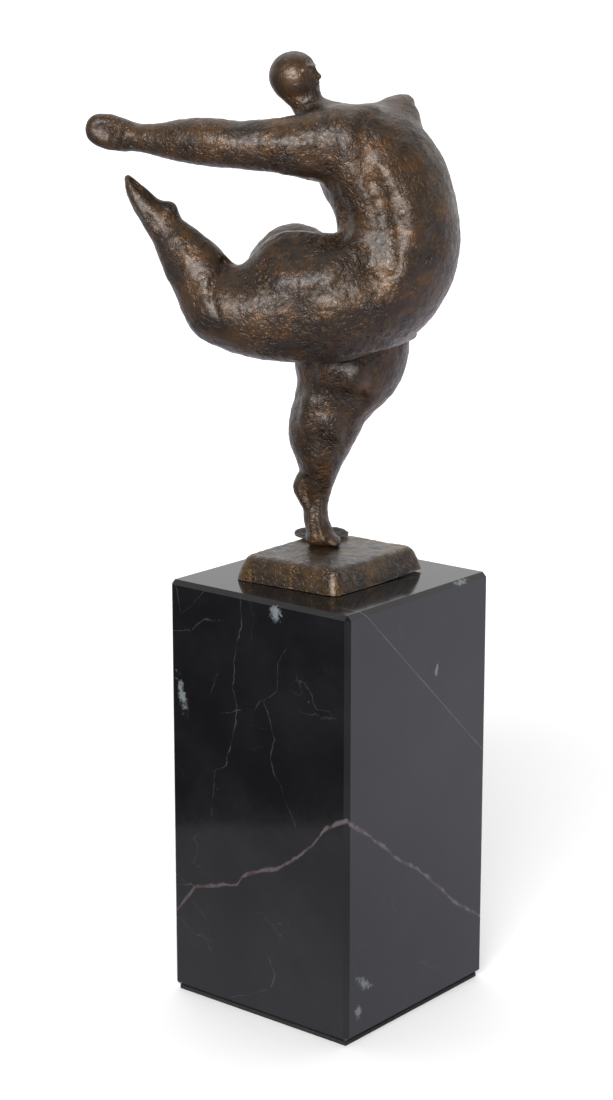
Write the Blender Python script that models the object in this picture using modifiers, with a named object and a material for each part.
"""Bronze statuette of a dancer on a black marble plinth.

The plinth stands square to X and Y with the middle of its underside at the origin. The dancer is built in
a frame of its own: s runs forward out of the chest, y runs to the dancer's left, and h is the height above
the bronze base. That frame is an empty, turned about Z, that the castings hang from.

The soft forms are built like clay: balls strung along a few hand-set sections, fused by a voxel remesh,
smoothed, and cut into the castings that a foundry would join with dowels and sleeves.
"""

import math

import bmesh
import bpy
from mathutils import Matrix, Vector

MM = 0.001

# Driving dimensions, in millimetres.
GAP = 0.3                   # clearance kept between pieces that touch
PLINTH_SIDE = 100.0
PLINTH_HEIGHT = 190.0
PLINTH_CHAMFER = 2.0
PLINTH_BORE = 10.0
FELT_THICKNESS = 1.7
FELT_INSET = 2.0
BASE_HEIGHT = 11.7
BASE_CORNERS = ((-27.5, -33.0), (26.5, -28.8), (27.5, 33.5), (-29.5, 32.5))
BASE_TAPER = 3.2            # how far the top edges stand in from the bottom edges
BASE_EDGE_RADIUS = 2.2
BASE_WALL = 5.0
BASE_HOLLOW = 5.5
BASE_BOSS_DIAMETER = 26.0
FIGURE_TURN = 39.4          # degrees from +X to the way the dancer faces
STUD_DIAMETER = 8.0
STUD_DEPTH_IN_BASE = 7.5
NUT_ACROSS_CORNERS = 15.0
NUT_HEIGHT = 6.5
FLAT_WASHER = (24.0, 1.8)       # diameter, thickness
SPRING_WASHER = (14.0, 2.0)
STUD_PAST_NUT = 3.0
GASKET_DIAMETER = 24.0
GASKET_THICKNESS = 0.8
COUNTERBORE_DIAMETER = 32.0
COUNTERBORE_DEPTH = 24.0
MEDALLION_DIAMETER = 25.0
MEDALLION_AT = (-3.6, 26.0)
MEDALLION_THICKNESS = 1.5
MEDALLION_CHAMFER = 0.4
CASTING_WALL = 4.6

PLINTH_BOTTOM = FELT_THICKNESS + GAP
PLINTH_TOP = PLINTH_BOTTOM + PLINTH_HEIGHT
BASE_BOTTOM = PLINTH_TOP + GAP
BASE_TOP = BASE_BOTTOM + BASE_HEIGHT

# The figure's forms. A row is s, y, h, r, q: the middle of a ball, its radius r fore-and-aft and up, and
# its radius q across the body. The balls between two rows follow a smooth curve.
TORSO = (
    (4, -7, 112, 24, 33), (20, -8, 115, 24.5, 32), (28, -7, 130, 26, 30), (28, -7, 145, 25.5, 28),
    (24.5, -6, 158, 25.5, 27), (17.5, -5.5, 168, 24, 25.5), (9, -4.5, 174.5, 17, 22),
)
RIGHT_BUTTOCK = ((-14, -17, 118, 23, 19), (-2, -18, 115, 24, 20))
LEFT_BUTTOCK = ((-15, 14, 122.5, 18, 17), (-18, 13, 117.5, 18, 16), (2, 12, 112, 20, 18))
RIGHT_BREAST = ((14, -14, 174, 14, 12), (15, -17, 183, 7.5, 7.5), (16, -18, 188.4, 3.6, 3.6))
LEFT_BREAST = (
    (20, 3, 172, 17, 14), (26.5, 5.5, 182.5, 11.6, 11), (28.6, 7, 188, 7.4, 8), (31.4, 8, 191.5, 4.1, 4.6),
)
NECK = (
    (1, -5, 181.5, 11.5, 13), (-6, -4, 188.3, 7.6, 8.3), (-11.2, -3, 194.2, 5.6, 6.2),
    (-15, -3, 199.5, 5.8, 6.4),
)
HEAD = ((-15.6, -3, 203.2, 10.1, 8.8), (-15.2, -3, 203.8, 10, 8.8))
RIGHT_ARM = (
    (4, -20, 177, 15, 10), (-12, -20, 176, 12.9, 9.8), (-25, -19, 176, 10.9, 9),
    (-38, -17.5, 176.2, 9.9, 8.6), (-50, -15, 177, 10.1, 8.4), (-60, -12.5, 177.5, 9, 7.8),
    (-72, -9.5, 177.7, 6.8, 6.2), (-80, -7.8, 178.2, 5.7, 5.2), (-86, -6.5, 179.2, 5.7, 4.9),
)
RIGHT_HAND = ((-87, -6, 179.6, 6.2, 4.4), (-92, -5.4, 180.4, 7.4, 4.2), (-96.2, -4.7, 181.6, 6.7, 4))
LEFT_ARM = (
    (4, 14, 169, 13, 10), (-12, 14, 171, 11, 9.5), (-25, 13, 172.4, 9.4, 9),
    (-38, 11.5, 173.8, 8.6, 8.2), (-50, 9.5, 175, 8.6, 7.8), (-62, 7.5, 176, 7.8, 7),
    (-74, 5.5, 177.2, 6.2, 5.8), (-86, 3, 178.6, 5.2, 4.7),
)
LEFT_HAND = ((-86, 3, 178.6, 5.4, 4.4), (-92, 2.4, 180, 6.6, 3.8), (-96, 2, 181, 6.2, 3.6))
RIGHT_THIGH = (
    (0, -22, 111.5, 25, 19), (-22, -22, 107.6, 21.2, 17), (-38, -21, 107.2, 17, 15.5),
    (-47, -20, 109, 13.6, 13),
)
RIGHT_SHANK = (
    (-47, -20, 109.5, 13.5, 12.5), (-54.3, -18, 122, 13.3, 11.5), (-62, -16, 132.2, 10.7, 9.5),
    (-68.5, -14.5, 140.5, 7.4, 7), (-71.5, -14, 145, 6.4, 5.6),
)
RIGHT_HEEL = ((-68, -13.5, 145.5, 4.5, 4.8), (-68.3, -13.5, 148.6, 4.2, 4.6))
RIGHT_FOOT = (
    (-71.5, -14, 144, 6.5, 5.8), (-77.3, -13, 150.6, 5.4, 6), (-81.3, -12.3, 156, 4.1, 5.6),
    (-84, -11.8, 160.4, 2.3, 4.2), (-84.8, -11.6, 162, 1.5, 2.8),
)
LEFT_THIGH = (
    (9.4, 10, 100, 25.5, 21), (8.9, 10, 84, 24.4, 20), (5.2, 10, 73, 19.6, 18), (1, 10, 63, 16.6, 16),
    (-3, 10, 52, 15.3, 14.5), (-4.2, 9.5, 42, 11.4, 12.5), (-4.6, 9.5, 34, 8.5, 10), (-6, 9.5, 26, 6.8, 7.5),
)
LEFT_HEEL = ((-12, 9.6, 27, 4, 4.6), (-12.4, 9.6, 22.6, 3.8, 4.4))
LEFT_FOOT = (
    (-6, 9.5, 26, 6.8, 7), (-6.6, 9.2, 18, 5.6, 6), (-5.9, 8.4, 11, 5.4, 5.4), (-4.6, 7.8, 6, 5.5, 5.4),
)
LEFT_TOES = ((-7.4, 7.6, 2.6, 3.1, 5.2), (-2, 7.2, 2.8, 3.6, 5.6), (2.3, 6.8, 1.6, 2.6, 5.4))
FIGURE = (
    TORSO, RIGHT_BUTTOCK, LEFT_BUTTOCK, RIGHT_BREAST, LEFT_BREAST, NECK, HEAD,
    RIGHT_ARM, RIGHT_HAND, LEFT_ARM, LEFT_HAND,
    RIGHT_THIGH, RIGHT_SHANK, RIGHT_HEEL, RIGHT_FOOT,
    LEFT_THIGH, LEFT_HEEL, LEFT_FOOT, LEFT_TOES,
)

# Hollows of the castings, as rows of the same kind; each ball is smaller by the wall.
TORSO_CORE = TORSO[:6]
STANDING_CORE = ((7, 10, 69.5, 17, 16), (1, 10, 61, 16, 15), (-3, 10, 53, 15, 14.5))
RAISED_CORE = ((-37, -21, 108, 17, 15.5), (-47, -20, 110, 13.8, 13), (-54, -18, 120, 12.7, 11.5))

# Joints between the castings: a point on the joint, and the way from the torso to the other casting.
NECK_JOINT = (Vector((-8.5, -3.5, 192.5)), Vector((-1, 0, 1)).normalized())
RIGHT_SHOULDER = (Vector((-16, -20, 177.3)), Vector((-1, 0, 0)))
LEFT_SHOULDER = (Vector((-16, 13.8, 170)), Vector((-1, 0, 0)))
RAISED_HIP = (Vector((-27, -21.5, 108.5)), Vector((-1, 0, 0)))
STANDING_HIP = (Vector((8.5, 10, 86)), Vector((0, 0, -1)))
FOOT_PIN_AT = (-4.0, 8.5)

DOWEL_CLEARANCE = 0.3
NECK_DOWEL = (4.0, 15.0)        # diameter, length
SHOULDER_DOWEL = (6.0, 18.0)
RAISED_SLEEVE = (22.0, 15.0, 14.0)      # outer diameter, bore, length
STANDING_SLEEVE = (28.0, 20.0, 14.0)
FOOT_PIN = (3.0, 17.0)
FOOT_PIN_DEPTH = 6.5            # how much of the pin is in the base

# Zones that the skin is cut by: outlines in s and h, and the y they run from and to.
HEAD_ZONE = (((-14.9, 186.1), (2.1, 203.1), (2.1, 220), (-34, 220), (-34, 200)), -12.5, 7)
ARMS_ZONE = (((-16, 150), (-16, 191), (-112, 191), (-112, 174.5)), -36, 32)
RAISED_LEG_ZONE = (((-27, 80), (-27, 140), (-60, 158), (-95, 168), (-95, 80)), -52, -3.5)
STANDING_LEG_ZONE = (((-42, -4), (-42, 86), (52, 86), (52, -4)), -13, 44)
GROUND = (((-44, -6), (-44, 2 * GAP), (54, 2 * GAP), (54, -6)), -26, 46)

# How a form is fused: voxel size, smoothing passes, triangles.
SKIN_FINISH = (1.1, 5, 7400)
TORSO_CORE_FINISH = (3.0, 2, 500)
STANDING_CORE_FINISH = (2.5, 2, 260)
RAISED_CORE_FINISH = (2.0, 2, 260)

CUTTER_OVERRUN = 2.0            # how far a cutter reaches past the face it opens
UP = Vector((0, 0, 1))


def clear_scene():
    for old in list(bpy.data.objects):
        bpy.data.objects.remove(old, do_unlink=True)


def new_collection(name):
    group = bpy.data.collections.new(name)
    bpy.context.scene.collection.children.link(group)
    return group


def make_material(name, colour, roughness, metallic):
    material = bpy.data.materials.new(name)
    material.use_nodes = True
    shader = material.node_tree.nodes["Principled BSDF"]
    shader.inputs["Base Color"].default_value = (*colour, 1.0)
    shader.inputs["Roughness"].default_value = roughness
    shader.inputs["Metallic"].default_value = metallic
    return material


def new_object(name, mesh, group, material=None):
    obj = bpy.data.objects.new(name, mesh)
    group.objects.link(obj)
    if material is not None:
        mesh.materials.append(material)
    return obj


def object_of(name, form, group, material=None):
    """An object holding a bmesh, which is freed."""
    mesh = bpy.data.meshes.new(name)
    form.to_mesh(mesh)
    form.free()
    return new_object(name, mesh, group, material)


def shade(obj, sharp_degrees=35):
    obj.data.shade_smooth()
    obj.data.set_sharp_from_angle(angle=math.radians(sharp_degrees))


def as_guide(obj):
    obj.hide_render = True
    obj.display_type = "WIRE"
    return obj


def baked(obj, group, material=None):
    """A plain mesh object with the modifiers of obj applied, in its place."""
    graph = bpy.context.evaluated_depsgraph_get()
    mesh = bpy.data.meshes.new_from_object(obj.evaluated_get(graph))
    name = obj.name
    parent = obj.parent
    bpy.data.objects.remove(obj, do_unlink=True)
    fresh = new_object(name, mesh, group, material)
    fresh.parent = parent
    return fresh


def boolean(obj, tool, operation):
    change = obj.modifiers.new(f"{operation.lower()} {tool.name}", "BOOLEAN")
    change.operation = operation
    change.object = tool
    change.solver = "EXACT"


def between(t, a, b, c, d):
    """The value at t on the Catmull-Rom curve from b to c."""
    bend = (2 * a - 5 * b + 4 * c - d) * t ** 2
    twist = (3 * b - a - 3 * c + d) * t ** 3
    return 0.5 * (2 * b + (c - a) * t + bend + twist)


def spline_rows(rows, steps=6):
    """The rows, and balls on a Catmull-Rom curve between them."""
    before = [2 * a - b for a, b in zip(rows[0], rows[1])]
    after = [2 * a - b for a, b in zip(rows[-1], rows[-2])]
    ends = [before, *rows, after]
    result = []
    for first, start, end, last in zip(ends, ends[1:], ends[2:], ends[3:]):
        for step in range(steps):
            t = step / steps
            result.append([between(t, *values) for values in zip(first, start, end, last)])
    result.append(list(rows[-1]))
    return result


def clay(name, forms, group, finish, thinner=0.0):
    """Balls along each form, fused into one skin with about the given number of triangles."""
    voxel, smoothing, faces = finish
    ball = bmesh.new()
    bmesh.ops.create_uvsphere(ball, u_segments=20, v_segments=12, radius=1.0)
    ball_mesh = bpy.data.meshes.new("ball")
    ball.to_mesh(ball_mesh)
    ball.free()
    balls = bmesh.new()
    for rows in forms:
        for s, y, h, r, q in spline_rows(rows):
            scale = Matrix.Diagonal(((r - thinner) * MM, (q - thinner) * MM, (r - thinner) * MM, 1))
            placed = ball_mesh.copy()
            placed.transform(Matrix.Translation(Vector((s, y, h)) * MM) @ scale)
            balls.from_mesh(placed)
            bpy.data.meshes.remove(placed)
    bpy.data.meshes.remove(ball_mesh)
    obj = object_of(name, balls, group)
    fuse = obj.modifiers.new("fuse", "REMESH")
    fuse.mode = "VOXEL"
    fuse.voxel_size = voxel * MM
    soften = obj.modifiers.new("soften", "SMOOTH")
    soften.factor = 0.5
    soften.iterations = smoothing
    obj = baked(obj, group)
    thin = obj.modifiers.new("thin", "DECIMATE")
    thin.ratio = min(1.0, faces / (2 * len(obj.data.polygons)))
    return baked(obj, group)


def box(name, side_x, side_y, bottom, top, group, material=None):
    form = bmesh.new()
    bmesh.ops.create_cube(form, size=1.0)
    bmesh.ops.scale(form, vec=(side_x * MM, side_y * MM, (top - bottom) * MM), verts=form.verts)
    bmesh.ops.translate(form, vec=(0, 0, (top + bottom) / 2 * MM), verts=form.verts)
    return object_of(name, form, group, material)


def prism(name, outline, near, far, group):
    """A block whose outline is drawn in s and h, from y = near to y = far."""
    curve = bpy.data.curves.new(name, "CURVE")
    curve.dimensions = "2D"
    curve.fill_mode = "BOTH"
    curve.extrude = (far - near) / 2 * MM
    line = curve.splines.new("POLY")
    line.points.add(len(outline) - 1)
    for point, (s, h) in zip(line.points, outline):
        point.co = (s * MM, h * MM, 0, 1)
    line.use_cyclic_u = True
    flat = bpy.data.objects.new(name, curve)
    group.objects.link(flat)
    graph = bpy.context.evaluated_depsgraph_get()
    mesh = bpy.data.meshes.new_from_object(flat.evaluated_get(graph))
    bpy.data.objects.remove(flat, do_unlink=True)
    form = bmesh.new()
    form.from_mesh(mesh)
    bmesh.ops.remove_doubles(form, verts=form.verts, dist=1e-6)
    on_edge = Matrix.Rotation(math.radians(90), 4, "X")
    stand_up = Matrix.Translation((0, (near + far) / 2 * MM, 0)) @ on_edge
    bmesh.ops.transform(form, matrix=stand_up, verts=form.verts)
    bmesh.ops.recalc_face_normals(form, faces=form.faces)
    form.to_mesh(mesh)
    form.free()
    return as_guide(new_object(name, mesh, group))


def rod(name, middle, direction, diameter, length, group, material=None, sides=24, bore=0.0):
    """A round bar or, with a bore, a tube, centred at a point and lying along a direction."""
    half = length / 2 * MM
    radius = diameter / 2 * MM
    form = bmesh.new()
    if bore:
        inner = bore / 2 * MM
        points = ((inner, half), (radius, half), (radius, -half), (inner, -half))
        corners = [form.verts.new((x, 0, z)) for x, z in points]
        for start, end in zip(corners, corners[1:] + corners[:1]):
            form.edges.new((start, end))
    else:
        bmesh.ops.create_cone(
            form, cap_ends=True, segments=sides, radius1=radius, radius2=radius, depth=2 * half
        )
    obj = object_of(name, form, group, material)
    if bore:
        turn = obj.modifiers.new("turn", "SCREW")
        turn.steps = sides
        turn.render_steps = sides
        turn.use_merge_vertices = True
        turn.merge_threshold = 0.00001
    obj.rotation_euler = Vector(direction).to_track_quat("Z", "Y").to_euler()
    obj.location = Vector(middle) * MM
    return obj


def upright(name, bottom, top, diameter, group, material=None, sides=24, bore=0.0):
    """A rod or tube on the plinth's axis, from one height to another."""
    middle = (0, 0, (bottom + top) / 2)
    return rod(name, middle, UP, diameter, top - bottom, group, material, sides, bore)


def drilled(target, name, joint, diameter, depth, parent):
    """A hole from a joint's face into a casting; a negative depth drills back the other way."""
    point, direction = joint
    start = point - direction * math.copysign(1.5, depth)
    end = point + direction * depth
    hole = as_guide(rod(name, (start + end) / 2, direction, diameter, (end - start).length, guides))
    hole.parent = parent
    boolean(target, hole, "DIFFERENCE")


clear_scene()
statuette = new_collection("bronze_statuette")
guides = new_collection("cutters")

BRONZE = make_material("brown bronze", (0.055, 0.036, 0.022), 0.38, 0.85)
GOLDEN_BRONZE = make_material("golden brown bronze", (0.085, 0.052, 0.028), 0.42, 0.85)
MARBLE = make_material("black marble", (0.012, 0.012, 0.014), 0.12, 0.0)
FELT = make_material("black felt", (0.015, 0.015, 0.015), 0.95, 0.0)
RUBBER = make_material("rubber", (0.02, 0.02, 0.02), 0.8, 0.0)
STEEL = make_material("zinc plated steel", (0.6, 0.6, 0.58), 0.35, 1.0)
MACHINED_BRONZE = make_material("machined bronze", (0.45, 0.3, 0.14), 0.3, 1.0)


# --- Plinth and its pad -------------------------------------------------------------------------------

def make_plinth():
    plinth = box("marble_plinth", PLINTH_SIDE, PLINTH_SIDE, PLINTH_BOTTOM, PLINTH_TOP, statuette, MARBLE)
    chamfer = plinth.modifiers.new("chamfer", "BEVEL")
    chamfer.width = PLINTH_CHAMFER * MM
    chamfer.segments = 1
    below = PLINTH_BOTTOM - CUTTER_OVERRUN
    above = PLINTH_TOP + CUTTER_OVERRUN
    seat = PLINTH_BOTTOM + COUNTERBORE_DEPTH
    bore = upright("plinth_bore", below, above, PLINTH_BORE, guides)
    sink = upright("plinth_counterbore", below, seat, COUNTERBORE_DIAMETER, guides, sides=32)
    boolean(plinth, as_guide(bore), "DIFFERENCE")
    boolean(plinth, as_guide(sink), "DIFFERENCE")
    felt_side = PLINTH_SIDE - 2 * FELT_INSET
    box("felt_pad", felt_side, felt_side, 0, FELT_THICKNESS, statuette, FELT)


# --- Bronze base, what bolts it down, and the medallion ------------------------------------------------

def make_base():
    """A hand-made slab, hollow below round a boss for the stud."""
    base = box("bronze_base", 1, 1, BASE_BOTTOM, BASE_TOP, statuette, GOLDEN_BRONZE)
    for vertex in base.data.vertices:
        x, y = next(c for c in BASE_CORNERS if c[0] * vertex.co.x > 0 and c[1] * vertex.co.y > 0)
        inset = BASE_TAPER if vertex.co.z > (BASE_BOTTOM + BASE_TOP) / 2 * MM else 0
        vertex.co.x = (x - math.copysign(inset, x)) * MM
        vertex.co.y = (y - math.copysign(inset, y)) * MM
    soften = base.modifiers.new("soft edges", "BEVEL")
    soften.width = BASE_EDGE_RADIUS * MM
    soften.segments = 3
    inner_x = min(abs(x) for x, _ in BASE_CORNERS) * 2 - 2 * BASE_WALL
    inner_y = min(abs(y) for _, y in BASE_CORNERS) * 2 - 2 * BASE_WALL
    below = BASE_BOTTOM - CUTTER_OVERRUN
    hollow = as_guide(box("base_hollow", inner_x, inner_y, below, BASE_BOTTOM + BASE_HOLLOW, guides))
    boss_bottom = BASE_BOTTOM + GASKET_THICKNESS + GAP
    boss = as_guide(upright("base_boss", boss_bottom, BASE_TOP, BASE_BOSS_DIAMETER, guides, sides=32))
    boolean(hollow, boss, "DIFFERENCE")
    boolean(base, hollow, "DIFFERENCE")
    tapped_top = boss_bottom + STUD_DEPTH_IN_BASE
    tapped = as_guide(upright("stud_hole", boss_bottom - CUTTER_OVERRUN, tapped_top, STUD_DIAMETER, guides))
    boolean(base, tapped, "DIFFERENCE")
    return base, tapped_top


def make_fixings(tapped_top):
    """The gasket under the boss, the stud, and its washers and nut in the counterbore."""
    bottom = PLINTH_TOP + GAP
    top = bottom + GASKET_THICKNESS
    bore = STUD_DIAMETER + 1
    upright("base_gasket", bottom, top, GASKET_DIAMETER, statuette, RUBBER, sides=32, bore=bore)
    height = PLINTH_BOTTOM + COUNTERBORE_DEPTH - GAP
    bore = STUD_DIAMETER + 0.4
    for name, (diameter, thickness) in (("plinth_washer", FLAT_WASHER), ("spring_washer", SPRING_WASHER)):
        upright(name, height - thickness, height, diameter, statuette, STEEL, sides=32, bore=bore)
        height -= thickness + GAP
    nut_bottom = height - NUT_HEIGHT
    nut = upright("plinth_nut", nut_bottom, height, NUT_ACROSS_CORNERS, statuette, STEEL, sides=6)
    nut_bore = as_guide(upright("nut_bore", nut_bottom - 1, height + 1, bore, guides))
    boolean(nut, nut_bore, "DIFFERENCE")
    stud_bottom = nut_bottom - GAP - STUD_PAST_NUT
    upright("mounting_stud", stud_bottom, tapped_top - GAP, STUD_DIAMETER - 2 * GAP, statuette, STEEL)


def make_medallion(frame):
    """A blank founder's medallion, lying on the base behind the foot."""
    middle = (*MEDALLION_AT, GAP + MEDALLION_THICKNESS / 2)
    disc = rod(
        "foundry_medallion", middle, UP, MEDALLION_DIAMETER, MEDALLION_THICKNESS, statuette, BRONZE, sides=36
    )
    disc.parent = frame
    rim = disc.modifiers.new("rim", "BEVEL")
    rim.width = MEDALLION_CHAMFER * MM
    rim.segments = 1
    rim.limit_method = "ANGLE"


# --- The dancer ---------------------------------------------------------------------------------------

def casting(name, skin, frame):
    obj = new_object(name, skin.data.copy(), statuette, BRONZE)
    obj.parent = frame
    return obj


def framed_guide(obj, frame):
    as_guide(obj).parent = frame
    return obj


def make_dancer(frame):
    """One skin, cut at the joints into hollow castings."""
    skin = as_guide(clay("figure_skin", FIGURE, guides, SKIN_FINISH))
    ground = framed_guide(prism("ground", *GROUND, guides), frame)
    castings = {}
    torso = casting("torso", skin, frame)
    for name, zone, away in (
        ("head", HEAD_ZONE, NECK_JOINT[1] * GAP),
        ("arms", ARMS_ZONE, Vector((-GAP, 0, 0))),
        ("raised_leg", RAISED_LEG_ZONE, Vector((-GAP, -GAP, 0))),
        ("standing_leg", STANDING_LEG_ZONE, Vector((0, 0, -GAP))),
    ):
        cutter = framed_guide(prism(f"{name}_zone", *zone, guides), frame)
        part = casting(name, skin, frame)
        boolean(part, cutter, "INTERSECT")
        boolean(part, ground, "DIFFERENCE")
        part = baked(part, statuette)
        part.location = away * MM
        castings[name] = part
        boolean(torso, cutter, "DIFFERENCE")
    castings["torso"] = torso
    for name, rows, finish in (
        ("torso", TORSO_CORE, TORSO_CORE_FINISH),
        ("standing_leg", STANDING_CORE, STANDING_CORE_FINISH),
        ("raised_leg", RAISED_CORE, RAISED_CORE_FINISH),
    ):
        core = framed_guide(clay(f"{name}_core", (rows,), guides, finish, CASTING_WALL), frame)
        boolean(castings[name], core, "DIFFERENCE")
    return castings


def make_joints(castings, frame, base):
    """Dowels in the thin joints, sleeves in the hollow ones, and a pin from the base into the foot."""
    for name, joint, (diameter, length), part in (
        ("neck_dowel", NECK_JOINT, NECK_DOWEL, "head"),
        ("right_shoulder_dowel", RIGHT_SHOULDER, SHOULDER_DOWEL, "arms"),
        ("left_shoulder_dowel", LEFT_SHOULDER, SHOULDER_DOWEL, "arms"),
    ):
        dowel = rod(name, joint[0], joint[1], diameter, length, statuette, MACHINED_BRONZE)
        dowel.parent = frame
        depth = length / 2 + 1
        hole = diameter + 2 * DOWEL_CLEARANCE
        drilled(castings[part], f"{name}_hole", joint, hole, depth, frame)
        drilled(castings["torso"], f"{name}_socket", joint, hole, -depth, frame)
    for name, joint, (diameter, bore, length), part in (
        ("raised_hip_sleeve", RAISED_HIP, RAISED_SLEEVE, "raised_leg"),
        ("standing_hip_sleeve", STANDING_HIP, STANDING_SLEEVE, "standing_leg"),
    ):
        point, direction = joint
        sleeve = rod(name, point, direction, diameter, length, statuette, MACHINED_BRONZE, 32, bore)
        sleeve.parent = frame
        hole = diameter + 2 * DOWEL_CLEARANCE
        drilled(castings[part], f"{name}_hole", joint, hole, length / 2 + 1, frame)
        drilled(castings["torso"], f"{name}_socket", joint, hole, -length, frame)
    diameter, length = FOOT_PIN
    foot = Vector((*FOOT_PIN_AT, 0))
    middle = foot + UP * (length / 2 - FOOT_PIN_DEPTH)
    pin = rod("foot_pin", middle, UP, diameter, length, statuette, STEEL, sides=16)
    pin.parent = frame
    hole = diameter + 2 * DOWEL_CLEARANCE
    in_foot = length - FOOT_PIN_DEPTH
    drilled(castings["standing_leg"], "foot_pin_hole", (foot, UP), hole, in_foot + 1, frame)
    drilled(base, "foot_pin_socket", (foot, UP), hole, -FOOT_PIN_DEPTH - GAP, frame)


def main():
    make_plinth()
    base, tapped_top = make_base()
    make_fixings(tapped_top)
    frame = bpy.data.objects.new("figure_frame", None)
    statuette.objects.link(frame)
    frame.location = (0, 0, BASE_TOP * MM)
    frame.rotation_euler = (0, 0, math.radians(FIGURE_TURN))
    make_medallion(frame)
    castings = make_dancer(frame)
    make_joints(castings, frame, base)
    for part in (*castings.values(), base):
        shade(part)


main()
